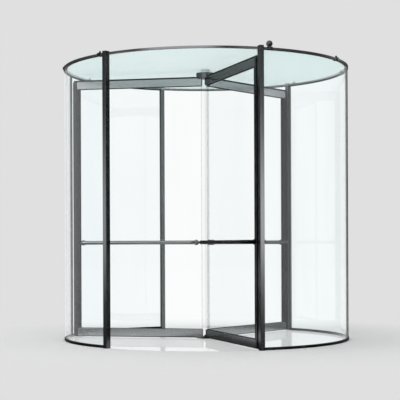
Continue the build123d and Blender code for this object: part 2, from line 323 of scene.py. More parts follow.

# %% [markdown]
# The floor is a pale slab. Inside the door it is white and polished, and it mirrors the posts and rails;
# there a share of flat white glow is painted light, which pales the door's shadow.
# Outside it keeps the door's soft shadow and fades into the same grey as the background, so that no horizon
# shows. A glossy tile could be modelled, but a change of gloss with the distance from the axis is enough.

# %% Floor as it is seen
FLOOR_SIZE = 60.0
POLISHED_RADIUS = 1.39
POLISHED_EDGE = 0.03
INSIDE_PAINTED_LIGHT_SHARE = 0.4
GREY_FLOOR = (0.72, 0.72, 0.72, 1)
WHITE_FLOOR = (0.92, 0.925, 0.925, 1)
DULL_FLOOR = 0.6
SHADOW_NEAR, SHADOW_FAR = 1.5, 3.2

half = FLOOR_SIZE / 2
floor_corners = [(-half, -half, 0), (half, -half, 0), (half, half, 0), (-half, half, 0)]
floor_mesh = bpy.data.meshes.new("floor")
floor_mesh.from_pydata(floor_corners, [], [(0, 1, 2, 3)])
floor = bpy.data.objects.new("floor", floor_mesh)
scene.collection.objects.link(floor)
floor_finish, tree, shader = start_material("pale_floor")
place = object_place(tree)
distance = vector_node(tree, "LENGTH", place)["Value"]
rays = light_path(tree)
outside = ramp(tree, distance, POLISHED_RADIUS, POLISHED_RADIUS + POLISHED_EDGE)
inside = math_node(tree, "SUBTRACT", 1.0, outside)
white_share = math_node(tree, "MAXIMUM", inside, seen_through_glass(tree, rays))
floor_colour = mix_colour(tree, white_share, GREY_FLOOR, WHITE_FLOOR)
set_socket(tree, shader.inputs["Base Color"], floor_colour)
set_socket(tree, shader.inputs["Roughness"], mix_value(tree, outside, 0.0, DULL_FLOOR))
set_socket(tree, shader.inputs["Specular IOR Level"], mix_value(tree, outside, 1.0, 0.0))
flat_view = white_glow(tree, mix_value(tree, white_share, PALE_GREY, WHITE_BEHIND_GLASS))
past_shadow = ramp(tree, distance, SHADOW_NEAR, SHADOW_FAR)
# Inside the door a share of flat white glow is mixed in: painted light that pales the door's shadow there.
flat_share = math_node(tree, "MAXIMUM", past_shadow, math_node(tree, "MULTIPLY", inside, INSIDE_PAINTED_LIGHT_SHARE))
seen_floor = mix_shader(tree, flat_share, shader.outputs[0], flat_view)
print("floor:", FLOOR_SIZE, "m square, polished to", POLISHED_RADIUS, "m from the axis")

# %% [markdown]
# The door sees the floor in another way than the camera does. For diffuse light and sharp mirror images it
# is an even pale surface that throws light back up. Satin metal mirrors a floor that is dim near the door.
# Inside the door it is dim along one slanted band only, so that each lower rail mirrors its own tone.

# %% Floor as the door mirrors it
BAND_SLANT = 0.588
BAND_OFFSET = 0.15
BAND_HALF, BAND_FADE = 0.16, 0.45
BAND_DIM, BAND_PALE = 0.08, 0.85
FAR_START, FAR_END = 8.0, 25.0
FAR_DIM, FAR_PALE = 0.08, 0.60
BOUNCE = 0.90

floor_axes = axes_of(tree, place)
slanted = math_node(tree, "MULTIPLY_ADD", floor_axes["Y"], BAND_SLANT, floor_axes["X"])
off_band = math_node(tree, "ABSOLUTE", math_node(tree, "ADD", slanted, BAND_OFFSET))
band_level = ramp(tree, off_band, BAND_HALF, BAND_FADE, BAND_DIM, BAND_PALE)
far_level = ramp(tree, distance, FAR_START, FAR_END, FAR_DIM, FAR_PALE)
mirrored_level = mix_value(tree, outside, band_level, far_level)
even_rays = math_node(tree, "MAXIMUM", rays["Is Diffuse Ray"], rays["Is Singular Ray"])
bounce = white_glow(tree, mix_value(tree, even_rays, mirrored_level, BOUNCE))
set_surface(tree, mix_shader(tree, rays["Is Camera Ray"], bounce, seen_floor))
floor_mesh.materials.append(floor_finish)
floor_finish.cycles.emission_sampling = "NONE"
print("floor finish nodes:", len(tree.nodes))

# %% [markdown]
# One wide lamp high on the left is the key. A sun lamp would be simpler, but its shadow would be hard. This
# one is large and far off, so its shadow is soft.

# %% Key lamp
LAMP_POWER = 260.0
LAMP_WIDTH, LAMP_DEPTH = 5.0, 4.0
LAMP_PLACE = (-6.5, -6.0, 6.5)
LAMP_TARGET = (0.0, 0.0, 1.2)


def aim(thing, place, target, front):
    """Put a lamp or a board at a place, with its front towards a target."""
    thing.location = place
    towards = Vector(target) - Vector(place)
    thing.rotation_euler = towards.to_track_quat(front, "Y").to_euler()


lamp_data = bpy.data.lights.new("key", "AREA")
lamp_data.energy = LAMP_POWER
lamp_data.shape = "RECTANGLE"
lamp_data.size = LAMP_WIDTH
lamp_data.size_y = LAMP_DEPTH
lamp = bpy.data.objects.new("key", lamp_data)
scene.collection.objects.link(lamp)
aim(lamp, LAMP_PLACE, LAMP_TARGET, "-Z")
lamp.visible_camera = False
print("key lamp:", LAMP_POWER, "W at", LAMP_PLACE)

# %% [markdown]
# A pale upright board on the right gives the rails of the wing that points back something to mirror. It
# stands close by, so no other face of the door shows it. It is there for satin metal alone: the clear glass,
# the camera and the shadows pass it by, or a white band would run down the right wall.

# %% Reflector board
BOARD_WIDTH, BOARD_HEIGHT = 1.5, 3.7
BOARD_GLOW = 1.05
BOARD_PLACE = (3.2, 1.45, 1.95)
BOARD_TARGET = (0.35, 0.65, 1.95)

shares = [(-0.5, -0.5), (0.5, -0.5), (0.5, 0.5), (-0.5, 0.5)]
board_corners = [(a * BOARD_WIDTH, b * BOARD_HEIGHT, 0) for a, b in shares]
board_mesh = bpy.data.meshes.new("reflector_board")
board_mesh.from_pydata(board_corners, [], [(0, 1, 2, 3)])
board = bpy.data.objects.new("reflector_board", board_mesh)
scene.collection.objects.link(board)
aim(board, BOARD_PLACE, BOARD_TARGET, "Z")
board.visible_camera = False
board.visible_diffuse = False
board.visible_transmission = False
board.visible_shadow = False
board_finish, tree, shader = start_material("pale_board")
sharp_rays = light_path(tree)["Is Singular Ray"]
set_surface(tree, mix_shader(tree, sharp_rays, white_glow(tree, BOARD_GLOW), clear_film(tree, WHITE)))
board_mesh.materials.append(board_finish)
board_finish.cycles.emission_sampling = "NONE"
print("board:", BOARD_WIDTH, "by", BOARD_HEIGHT, "m")

# %% [markdown]
# ## Glass
# Flat and gently bent panes hardly shift what is behind them. So the glass here is a tinted film that light
# passes straight through, and a mirror that grows stronger towards a glancing view, mixed on each face of
# the pane. Refracting glass could be used too, but it is slower, and a lamp's light would stop at it. Faint
# wipe marks vary the tint. A wing's free edge stands near the axis, and there the tint deepens.

# %% Glass tint
WIPE_STRETCH = (2.2, 2.2, 0.6)
WIPE_SCALE = 1.3
WIPE_FAINT, WIPE_FULL = 0.35, 0.75
EDGE_RADIUS = 0.0435
EDGE_FADE = 0.001


def mirror_share(tree, straight, glancing, power):
    """How much a face mirrors: a little when seen straight on, more at a glancing view."""
    slant = add_node(tree, "ShaderNodeLayerWeight", Blend=0.5).outputs["Facing"]
    return math_node(tree, "MULTIPLY_ADD", math_node(tree, "POWER", slant, power), glancing, straight)


def glass_colour(tree, tint, mark, edge=None):
    """The tint of one face, with faint wipe marks and a deeper free edge."""
    place = object_place(tree)
    wipes = noise(tree, stretch(tree, place, *WIPE_STRETCH), WIPE_SCALE, 3.0)
    colour = mix_colour(tree, ramp(tree, wipes, WIPE_FAINT, WIPE_FULL), tint, mark)
    if edge:
        plan = vector_node(tree, "MULTIPLY", place, (1, 1, 0))[0]
        radius = vector_node(tree, "LENGTH", plan)["Value"]
        past_edge = ramp(tree, radius, EDGE_RADIUS, EDGE_RADIUS + EDGE_FADE)
        colour = mix_colour(tree, past_edge, edge, colour)
    return colour


print("glass tint ready, free edge within", EDGE_RADIUS, "m of the axis")

# %% [markdown]
# The walls and wings are clear glass with sharp mirror images. The ceiling is etched: it lets light through
# too, but in place of a mirror image it has a pale veil.

# %% Glass finishes
def clear_glass(name, tint, mark, edge=None):
    """Clear glass that mirrors as real glass does."""
    material, tree, shader = start_material(name)
    shader.inputs["Base Color"].default_value = WHITE
    shader.inputs["Metallic"].default_value = 1.0
    shader.inputs["Roughness"].default_value = 0.0
    film = clear_film(tree, glass_colour(tree, tint, mark, edge))
    share = mirror_share(tree, straight=0.035, glancing=0.35, power=5.0)
    set_surface(tree, mix_shader(tree, share, film, shader.outputs[0]))
    return material


def satin_glass(name, tint, mark):
    """Etched glass: mostly clear from below or above, and a pale veil at a glancing view."""
    material, tree, shader = start_material(name)
    shader.inputs["Roughness"].default_value = 0.4
    shader.inputs["Specular IOR Level"].default_value = 0.08
    colour = glass_colour(tree, tint, mark)
    set_socket(tree, shader.inputs["Base Color"], colour)
    share = mirror_share(tree, straight=0.15, glancing=0.10, power=1.0)
    set_surface(tree, mix_shader(tree, share, clear_film(tree, colour), shader.outputs[0]))
    return material


WALL_GLASS = clear_glass("clear_bent_glass", (0.984, 0.996, 0.998, 1), (0.974, 0.988, 0.991, 1))
WING_GLASS = clear_glass("clear_wing_glass", (0.990, 0.996, 0.996, 1), (0.982, 0.990, 0.990, 1),
                         edge=(0.60, 0.66, 0.65, 1))
CEILING_GLASS = satin_glass("satin_ceiling_glass", (0.920, 0.985, 0.980, 1), (0.905, 0.977, 0.970, 1))
print("glass finishes:", [m.name for m in (WALL_GLASS, WING_GLASS, CEILING_GLASS)])

# %% [markdown]
# ## Dark metal
# The posts, rails and tracks are extruded profiles with a dark satin coat. The die leaves fine lines along
# the length, so the noise that drives colour, roughness and bump is stretched along each piece. Low down,
# shoes and trolleys leave pale scuffs, which a second noise lays over the lowest hand's breadth.

# %% Metal helpers
LINE_STRETCH, LINE_SCALE = 0.004, 900.0
CLOUD_STRETCH, CLOUD_SCALE = 0.5, 2.0
LINE_SHARE, CLOUD_SHARE = 0.65, 0.35
COAT_DARK, COAT_LIGHT = 0.3, 0.7
LINE_DEPTH = 0.0004
LINE_BUMP = 0.05
SCUFF_COLOUR = (0.36, 0.36, 0.35, 1)
SCUFF_STRETCH = (9.0, 60.0, 60.0)
SCUFF_FAINT, SCUFF_FULL = 0.60, 0.72
SCUFF_LOW, SCUFF_HIGH = 0.02, 0.12
SCUFF_DULLNESS = 0.3


def along_coordinates(tree, direction):
    """Object coordinates whose first axis runs along a piece: up, round the axis, or at a plan angle."""
    place = object_place(tree)
    if direction == "round":
        axes = axes_of(tree, place)
        turn = math_node(tree, "ARCTAN2", axes["Y"], axes["X"])
        radius = vector_node(tree, "LENGTH", place)["Value"]
        return add_node(tree, "ShaderNodeCombineXYZ", X=turn, Y=radius, Z=axes["Z"]).outputs[0]
    rotation = (0, math.radians(90), 0) if direction == "up" else (0, 0, -math.radians(direction))
    return add_node(tree, "ShaderNodeMapping", Vector=place, Rotation=rotation).outputs[0]


def metal_finish(name, dark, light, direction, roughness=(0.16, 0.24), scuffs=0.0, bare=1.0):
    """Bare or painted metal with die lines along it, cloudy variation and scuffs near the floor."""
    material, tree, shader = start_material(name)
    shader.inputs["Metallic"].default_value = bare
    place = along_coordinates(tree, direction)
    lines = noise(tree, stretch(tree, place, LINE_STRETCH, 1.0, 1.0), LINE_SCALE)
    clouds = noise(tree, stretch(tree, place, CLOUD_STRETCH, 1.0, 1.0), CLOUD_SCALE, 3.0)
    line_part = math_node(tree, "MULTIPLY", lines, LINE_SHARE)
    both = math_node(tree, "MULTIPLY_ADD", clouds, CLOUD_SHARE, line_part)
    colour = mix_colour(tree, ramp(tree, both, COAT_DARK, COAT_LIGHT), dark, light)
    rough = ramp(tree, both, COAT_DARK, COAT_LIGHT, *roughness)
    if scuffs:
        height = axes_of(tree, object_place(tree))["Z"]
        scratches = noise(tree, stretch(tree, place, *SCUFF_STRETCH), 1.0, 4.0)
        low = ramp(tree, height, SCUFF_LOW, SCUFF_HIGH, scuffs, 0.0)
        marks = ramp(tree, scratches, SCUFF_FAINT, SCUFF_FULL)
        worn = math_node(tree, "MULTIPLY", marks, low)
        colour = mix_colour(tree, worn, colour, SCUFF_COLOUR)
        rough = math_node(tree, "MULTIPLY_ADD", worn, SCUFF_DULLNESS, rough)
    set_socket(tree, shader.inputs["Base Color"], colour)
    set_socket(tree, shader.inputs["Roughness"], rough)
    bump = add_node(tree, "ShaderNodeBump", Strength=LINE_BUMP, Distance=LINE_DEPTH, Height=lines)
    set_socket(tree, shader.inputs["Normal"], bump.outputs[0])
    return material


print("metal helpers ready, scuffs up to", SCUFF_HIGH, "m")

# %% [markdown]
# The fixed pieces share a few coats. The front posts are near black and glossy enough to show a streak of
# light. The back posts and the rims above the walls are painted, so they keep one even tone from any side.
# The rims over the passages and the hub are paler satin metal. The tracks and the small fittings are black.

# %% Metal finishes
POST_METAL = metal_finish("black_post_metal", (0.076, 0.079, 0.083, 1), (0.104, 0.107, 0.111, 1),
                          "up", (0.13, 0.18), scuffs=0.5)
BACK_POST_METAL = metal_finish("grey_back_post_paint", (0.120, 0.131, 0.132, 1), (0.145, 0.158, 0.159, 1),
                               "up", (0.30, 0.40), scuffs=0.5, bare=0.0)
BLACK_ARC = metal_finish("black_arc_metal", (0.030, 0.032, 0.034, 1), (0.050, 0.053, 0.056, 1),
                         "round", scuffs=0.4)
GREY_ARC = metal_finish("grey_arc_metal", (0.22, 0.225, 0.235, 1), (0.28, 0.285, 0.295, 1),
                        "round", (0.11, 0.15))
RIM_PAINT = metal_finish("black_rim_paint", (0.024, 0.025, 0.026, 1), (0.034, 0.035, 0.036, 1),
                         "round", (0.30, 0.40), bare=0.0)
HUB_METAL = metal_finish("satin_hub_metal", (0.12, 0.125, 0.13, 1), (0.17, 0.175, 0.18, 1),
                         "round", (0.14, 0.20))
FITTING_METAL = metal_finish("black_fitting_metal", (0.050, 0.052, 0.055, 1), (0.080, 0.083, 0.086, 1),
                             "round")
fixed_coats = (POST_METAL, BACK_POST_METAL, BLACK_ARC, GREY_ARC, RIM_PAINT, HUB_METAL, FITTING_METAL)
print("coats of the fixed pieces:", len(fixed_coats))

# %% [markdown]
# Each wing's rails, stile and push bars get a tone of their own, and that tone is painted reflection. On the
# real door they are all one metal, but every wing faces another part of the room and mirrors another
# brightness. A whole room could be built to be mirrored, but a painted tone for each wing is simpler. It
# holds only for the wings where they stand now, because the painted reflection turns with them.

# %% Wing metals with painted reflection
WING_ANGLES = {"wing_1": 180.0, "wing_2": 300.0, "wing_3": 60.0}
# Each wing's tone is painted reflection: the brightness that wing's metal mirrors from its part of the room.
RAIL_PAINTED_REFLECTION_TONES = {"wing_1": 0.38, "wing_2": 0.25, "wing_3": 0.43}
STILE_PAINTED_REFLECTION_TONES = {"wing_1": 0.032, "wing_2": 0.038, "wing_3": 0.042}
BAR_PAINTED_REFLECTION_TONES = {"wing_1": 0.30, "wing_2": 0.016, "wing_3": 0.17}


def shade(hue, tone):
    """A colour of one hue at a tone."""
    return tuple(part * tone for part in hue) + (1.0,)


def wing_metals_with_painted_reflection(name, tones, dark, light, upright=False, **coat):
    """One finish for each wing at its tone of painted reflection, with die lines up it or along its plan
    angle.
    """
    finishes = {}
    for wing, tone in tones.items():
        direction = "up" if upright else WING_ANGLES[wing]
        colours = shade(dark, tone), shade(light, tone)
        finishes[wing] = metal_finish(f"{name}_{wing}", *colours, direction, **coat)
    return finishes


RAIL_METAL = wing_metals_with_painted_reflection("grey_rail_metal", RAIL_PAINTED_REFLECTION_TONES, (0.85, 0.90, 0.915), (1.0, 1.05, 1.07), scuffs=0.6)
STILE_METAL = wing_metals_with_painted_reflection("dark_stile_metal", STILE_PAINTED_REFLECTION_TONES, (0.74, 0.82, 0.87), (1.0, 1.1, 1.16),
                          upright=True, scuffs=0.5)
BAR_METAL = wing_metals_with_painted_reflection("satin_bar_metal", BAR_PAINTED_REFLECTION_TONES, (0.84, 0.90, 0.91), (1.0, 1.06, 1.07),
                        roughness=(0.14, 0.22))
print("wing metals:", len(RAIL_METAL) + len(STILE_METAL) + len(BAR_METAL))

# %% [markdown]
# ## Dressing the frame's pieces
# The glass, the posts and the profiles already have their true shape, so they only need their finish. The
# piece's name tells what it is, so one function can choose for all of them.

# %% Finishes by piece
def finish_for(name):
    """The finish that one piece of the frame wears."""
    wing = "_".join(name.split("_")[:2])
    if name == "ceiling_glass":
        return CEILING_GLASS
    if "wall_glass" in name:
        return WALL_GLASS
    if name.endswith("_glass"):
        return WING_GLASS
    if name.endswith("_rail"):
        return RAIL_METAL[wing]
    if name.endswith("push_bars"):
        return BAR_METAL[wing]
    if name.endswith(("_stile", "_channel")):
        return STILE_METAL[wing]
    if name.endswith("_post"):
        return POST_METAL if name.startswith("front") else BACK_POST_METAL
    if name in ("front_rim", "back_rim"):
        return GREY_ARC
    if name == "top_hub":
        return HUB_METAL
    if name.endswith("_rim"):
        return RIM_PAINT
    if name.endswith("_track"):
        return BLACK_ARC
    return FITTING_METAL


for name, piece in nodes.items():
    piece.data.materials.clear()
    piece.data.materials.append(finish_for(name))
print("dressed:", len(nodes))

# %% [markdown]
# ## Rubber, bristles and the sensor's shell
# The small parts are black rubber beads, black nylon bristles, clear seals and a moulded sensor. Rubber is
# dull with a fine grain. Bristles are a little browner, and paler where they are worn, which a noise stands
# for. The boss and the cap in the middle of the ceiling wear a pale coat that hardly shows against the glass.

# %% Small-part finishes
DULL = (0.5, 0.7)
GRAIN_DEPTH = 0.0002
GRAIN_BUMP = 0.3
BROAD_GRAIN = 40.0


def matte_finish(name, dark, light, grain, roughness=DULL, depth=GRAIN_DEPTH):
    """A moulded or coated surface with a fine grain."""
    material, tree, shader = start_material(name)
    place = object_place(tree)
    fine = noise(tree, place, grain, 3.0)
    broad = noise(tree, place, grain / BROAD_GRAIN)
    tone = math_node(tree, "MULTIPLY_ADD", fine, 0.5, math_node(tree, "MULTIPLY", broad, 0.5))
    colour = mix_colour(tree, ramp(tree, tone, 0.35, 0.65), dark, light)
    set_socket(tree, shader.inputs["Base Color"], colour)
    set_socket(tree, shader.inputs["Roughness"], ramp(tree, tone, 0.3, 0.7, *roughness))
    bump = add_node(tree, "ShaderNodeBump", Strength=GRAIN_BUMP, Distance=depth, Height=fine)
    set_socket(tree, shader.inputs["Normal"], bump.outputs[0])
    return material


RUBBER = matte_finish("black_rubber", (0.012, 0.012, 0.013, 1), (0.030, 0.030, 0.031, 1), 700.0)
BRISTLE = matte_finish("black_nylon", (0.006, 0.0055, 0.005, 1), (0.018, 0.017, 0.016, 1), 300.0)
SENSOR_SHELL = matte_finish("grey_shell", (0.050, 0.052, 0.055, 1), (0.075, 0.078, 0.08, 1), 900.0,
                            roughness=(0.28, 0.4))
LENS = matte_finish("dark_lens", (0.010, 0.008, 0.010, 1), (0.018, 0.014, 0.016, 1), 60.0,
                    roughness=(0.05, 0.10), depth=0.00005)
CAP_COAT = matte_finish("pale_cap_coat", (0.82, 0.89, 0.885, 1), (0.87, 0.94, 0.935, 1), 500.0,
                        roughness=(0.35, 0.5), depth=0.0001)
CLEAR_SEAL = clear_glass("clear_seal", (0.975, 0.980, 0.980, 1), (0.955, 0.962, 0.962, 1))
nodes["movement_sensor"].data.materials[0] = SENSOR_SHELL
for name in ("ceiling_cap", "ceiling_boss"):
    nodes[name].data.materials[0] = CAP_COAT
small_finishes = (RUBBER, BRISTLE, SENSOR_SHELL, LENS, CAP_COAT, CLEAR_SEAL)
print("small-part finishes:", len(small_finishes))

# %% [markdown]
# ## Measures taken from the frame
# The first wing lies along -X, so its boxes give the radial places directly: where the rails, the channel
# and the stile begin and end. The same goes for the walls, the rim and the track. A point on any wing is
# then given by how far out it is, how far off the wing's middle plane, and how high.

# %% Measures
def reach(node):
    """How far out from the axis one of the first wing's pieces begins and ends."""
    low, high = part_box(node)
    return -high.x, -low.x


def heights(node):
    """A piece's lowest and highest level."""
    low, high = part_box(node)
    return low.z, high.z


GLASS_INNER = reach("wing_1_glass")[0]
RAIL_INNER = reach("wing_1_top_rail")[0]
CHANNEL_INNER = reach("wing_1_glazing_channel")[0]
STILE_OUTER = reach("wing_1_stile")[1]
BRUSH_OUTER = reach("wing_1_brushes")[1]
WING_BOTTOM, SIGHT_BOTTOM = heights("wing_1_bottom_rail")
SIGHT_TOP, WING_TOP = heights("wing_1_top_rail")
BRUSH_BOTTOM, BRUSH_TOP = heights("wing_1_brushes")
WING_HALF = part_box("wing_1_top_rail")[1].y
GLASS_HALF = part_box("wing_1_glass")[1].y
WALL_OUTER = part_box("right_wall_glass_1")[1].x
WALL_INNER = WALL_OUTER - 2 * GLASS_HALF
TRACK_TOP = heights("right_base_track")[1]
RIM_BOTTOM = heights("right_rim")[0]
CEILING_BOTTOM, CEILING_TOP = heights("ceiling_glass")
UP = Vector((0.0, 0.0, 1.0))


def plan_direction(angle):
    """A level unit vector at a plan angle in degrees."""
    return Vector((math.cos(math.radians(angle)), math.sin(math.radians(angle)), 0.0))


def plan_point(angle, out, across, up):
    """A point so far out along a plan angle, so far to its left, and so high."""
    level = plan_direction(angle) * out + plan_direction(angle + 90.0) * across
    return level + Vector((0.0, 0.0, up))


print("wing reach:", round(STILE_OUTER, 4), "wall glass:", round(WALL_INNER, 4), "to", round(WALL_OUTER, 4))

# %% [markdown]
# ## Pieces grown by geometry nodes
# Beads, bristles and screws all start from a bare mesh of points and edges that says where they go. A small
# tree of geometry nodes then grows the real shape there. The points also say which way their pieces face
# and how long those are, so one tree can serve many places.

# %% Guides
def guide_line(points, facing=UP, length=0.0):
    """One guide: its points, the way its pieces face, and their length."""
    return points, facing, length


def guide_mesh(name, guides):
    """A mesh of loose lines that carries each guide's facing and length."""
    points, edges, facings, lengths = [], [], [], []
    for line, facing, length in guides:
        first = len(points)
        points += [tuple(p) for p in line]
        facings += list(facing) * len(line)
        lengths += [length] * len(line)
        edges += [(i, i + 1) for i in range(first, len(points) - 1)]
    mesh = bpy.data.meshes.new(name)
    mesh.from_pydata(points, edges, [])
    mesh.attributes.new("facing", "FLOAT_VECTOR", "POINT").data.foreach_set("vector", facings)
    mesh.attributes.new("length", "FLOAT", "POINT").data.foreach_set("value", lengths)
    return mesh


print("guides ready")

# %% [markdown]
# Every tree begins with the guide, its named sizes and a finish, and ends by making its copies real. The
# grown mesh is then kept as a plain mesh and the modifier goes, so that what rides on the door is ordinary
# geometry.

# %% Growing helpers
def start_tree(name, **inputs):
    """A geometry tree with a guide, named inputs and a finish, and its input sockets."""
    tree = bpy.data.node_groups.new(name, "GeometryNodeTree")
    kinds = {"Guide": "NodeSocketGeometry", **inputs, "Finish": "NodeSocketMaterial"}
    for label, kind in kinds.items():
        tree.interface.new_socket(label, in_out="INPUT", socket_type=kind)
    tree.interface.new_socket("Piece", in_out="OUTPUT", socket_type="NodeSocketGeometry")
    return tree, tree.nodes.new("NodeGroupInput").outputs


def carried(tree, name, kind):
    """A value that the guide's points carry."""
    node = add_node(tree, "GeometryNodeInputNamedAttribute", {"data_type": kind}, Name=name)
    return node.outputs[0]


def stand_along(tree, direction):
    """The turn that makes a piece stand along a direction."""
    node = add_node(tree, "FunctionNodeAlignRotationToVector", {"axis": "Z"}, Vector=direction)
    return node.outputs[0]


def end_tree(tree, geometry, finish):
    """Make the instances real, give them their finish and send them out."""
    real = add_node(tree, "GeometryNodeRealizeInstances", Geometry=geometry)
    dressed = add_node(tree, "GeometryNodeSetMaterial", Geometry=real.outputs[0], Material=finish)
    add_node(tree, "NodeGroupOutput", Piece=dressed.outputs[0])


def grow(name, guides, tree, body, slot, **values):
    """Grow a tree on its guides, keep the result as a plain mesh and let it ride on a body."""
    guide = bpy.data.objects.new(name + "_guide", guide_mesh(name + "_guide", guides))
    scene.collection.objects.link(guide)
    modifier = guide.modifiers.new("grow", "NODES")
    modifier.node_group = tree
    for item in tree.interface.items_tree:
        if item.in_out == "INPUT" and item.name in values:
            modifier[item.identifier] = values[item.name]
    depsgraph = bpy.context.evaluated_depsgraph_get()
    mesh = bpy.data.meshes.new_from_object(guide.evaluated_get(depsgraph), depsgraph=depsgraph)
    bpy.data.objects.remove(guide)
    mesh.name = name
    piece = bpy.data.objects.new(name, mesh)
    scene.collection.objects.link(piece)
    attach(piece, body)
    mesh.calc_loop_triangles()
    print(name, "triangles:", len(mesh.loop_triangles))
    return piece


print("growing helpers ready")

# %% [markdown]
# ### Rubber beads
# Where glass goes into a rail, a track, the rim or a post, a black rubber bead closes the joint. A bead is a
# round section swept along a line, so the tree turns each guide line into a curve and sweeps a circle along
# it. A bevelled curve object could do the same, but it would have to be made a mesh one line at a time.

# %% Bead tree
bead_tree, bead_in = start_tree("rubber_bead", Radius="NodeSocketFloat", Sides="NodeSocketInt")
bead_line = add_node(bead_tree, "GeometryNodeMeshToCurve", Mesh=bead_in["Guide"])
bead_section = add_node(bead_tree, "GeometryNodeCurvePrimitiveCircle", Resolution=bead_in["Sides"],
                        Radius=bead_in["Radius"])
bead_sweep = add_node(bead_tree, "GeometryNodeCurveToMesh", Curve=bead_line.outputs[0],
                      Profile_Curve=bead_section.outputs[0], Fill_Caps=True)
bead_smooth = add_node(bead_tree, "GeometryNodeSetShadeSmooth", Geometry=bead_sweep.outputs[0])
end_tree(bead_tree, bead_smooth.outputs[0], bead_in["Finish"])
print("bead tree nodes:", len(bead_tree.nodes))

# %% [markdown]
# A wing's pane has three beads on either face: along the bottom rail, up the glazing channel and along the
# top rail. Each sinks a little into the corner, as pressed rubber does. The pane's edge at the axis is free.

# %% Wing beads
BEAD_RADIUS = 0.0030
BEAD_SINK = 0.0012
BEAD_SIZES = {"Radius": BEAD_RADIUS, "Sides": 8, "Finish": RUBBER}
bead_low = SIGHT_BOTTOM + BEAD_SINK
bead_high = SIGHT_TOP - BEAD_SINK
bead_far = CHANNEL_INNER - BEAD_SINK
bead_off = GLASS_HALF + BEAD_SINK
sight_line = ((GLASS_INNER, bead_low), (bead_far, bead_low),
              (bead_far, bead_high), (GLASS_INNER, bead_high))
wing_bead_lines = []
for angle in WING_ANGLES.values():
    for across in (-bead_off, bead_off):
        corners = [plan_point(angle, out, across, up) for out, up in sight_line]
        wing_bead_lines += [guide_line(ends) for ends in zip(corners, corners[1:])]
grow("wing_glazing_beads", wing_bead_lines, bead_tree, "rotor", "brush", **BEAD_SIZES)

# %% [markdown]
# A bent wall has beads along the track and along the rim, on its inner and its outer face, and up the posts
# at its ends. The ceiling's pane has a ring of beads above and one below, both broken at the posts. The arcs
# are points a degree or two apart, which is finer than the eye can tell from a circle.

# %% Wall beads
POST_ANGLES = {"front_right": -60.0, "back_right": 60.0, "back_left": 120.0, "front_left": 240.0}
WALL_SIDE = {"front_right": 1, "back_right": -1, "back_left": 1, "front_left": -1}
WALL_SPANS = ((-60.0, 60.0), (120.0, 240.0))
RIM_SPANS = ((-60.0, 60.0), (60.0, 120.0), (120.0, 240.0), (240.0, 300.0))
POST_HALF_WIDTH = 0.021
RIM_INNER = 1.375
ARC_STEP = 1.5
post_turn = math.degrees(math.asin(POST_HALF_WIDTH / WALL_INNER))


def arc_guide(span, out, up):
    """A guide along a level arc, from the face of one post to the face of the next."""
    start, end = span[0] + post_turn, span[1] - post_turn
    steps = max(2, round(abs(end - start) / ARC_STEP))
    turns = [start + (end - start) * i / steps for i in range(steps + 1)]
    return guide_line([plan_point(turn, out, 0.0, up) for turn in turns])


bead_faces = (WALL_INNER - BEAD_SINK, WALL_OUTER + BEAD_SINK)
wall_bead_lines = []
for span in WALL_SPANS:
    for out in bead_faces:
        for up in (TRACK_TOP + BEAD_SINK, RIM_BOTTOM - BEAD_SINK):
            wall_bead_lines.append(arc_guide(span, out, up))
for post, angle in POST_ANGLES.items():
    across = WALL_SIDE[post] * (POST_HALF_WIDTH + BEAD_SINK)
    for out in bead_faces:
        ends = [plan_point(angle, out, across, up) for up in (TRACK_TOP, RIM_BOTTOM)]
        wall_bead_lines.append(guide_line(ends))
for up in (CEILING_BOTTOM - BEAD_SINK, CEILING_TOP + BEAD_SINK):
    wall_bead_lines += [arc_guide(span, RIM_INNER - BEAD_SINK, up) for span in RIM_SPANS]
grow("wall_glazing_beads", wall_bead_lines, bead_tree, "enclosure", "brush", **BEAD_SIZES)

# %% [markdown]
# ### Brush strips
# Each wing is sealed at the top, the bottom and the outer edge by strips of nylon bristles in a slim black
# holder. Thousands of tufts in a few rows follow one rule, so a tree sets a three-sided taper at every few
# millimetres of a guide line, leans each tuft a little and varies its length, with a fixed seed.

# %% Bristle tree
SHORTEST_TUFT = 0.88
bristle_tree, bristle_in = start_tree(
    "bristle_rows", Pitch="NodeSocketFloat", Root="NodeSocketFloat", Tip="NodeSocketFloat",
    Lean="NodeSocketFloat", Seed="NodeSocketInt")
bristle_line = add_node(bristle_tree, "GeometryNodeMeshToCurve", Mesh=bristle_in["Guide"])
bristle_places = add_node(bristle_tree, "GeometryNodeResampleCurve", {"mode": "LENGTH"},
                          Curve=bristle_line.outputs[0], Length=bristle_in["Pitch"])
tuft = add_node(bristle_tree, "GeometryNodeMeshCone", Vertices=3, Radius_Bottom=bristle_in["Root"],
                Radius_Top=bristle_in["Tip"], Depth=1.0)
sway = add_node(bristle_tree, "FunctionNodeRandomValue", {"data_type": "FLOAT_VECTOR"},
                input0=(-1, -1, -1), input1=(1, 1, 1), Seed=bristle_in["Seed"])
lean = add_node(bristle_tree, "ShaderNodeVectorMath", {"operation": "SCALE"}, input0=sway.outputs[0],
                Scale=bristle_in["Lean"])
row_facing = carried(bristle_tree, "facing", "FLOAT_VECTOR")
leaning = vector_node(bristle_tree, "ADD", row_facing, lean.outputs[0])[0]
trim = add_node(bristle_tree, "FunctionNodeRandomValue", {"data_type": "FLOAT"},
                input2=SHORTEST_TUFT, input3=1.0, Seed=bristle_in["Seed"])
tall = math_node(bristle_tree, "MULTIPLY", carried(bristle_tree, "length", "FLOAT"), trim.outputs[1])
size = add_node(bristle_tree, "ShaderNodeCombineXYZ", X=1.0, Y=1.0, Z=tall)
tufts = add_node(bristle_tree, "GeometryNodeInstanceOnPoints", Points=bristle_places.outputs[0],
                 Instance=tuft.outputs[0], Rotation=stand_along(bristle_tree, leaning),
                 Scale=size.outputs[0])
end_tree(bristle_tree, tufts.outputs[0], bristle_in["Finish"])
print("bristle tree nodes:", len(bristle_tree.nodes))

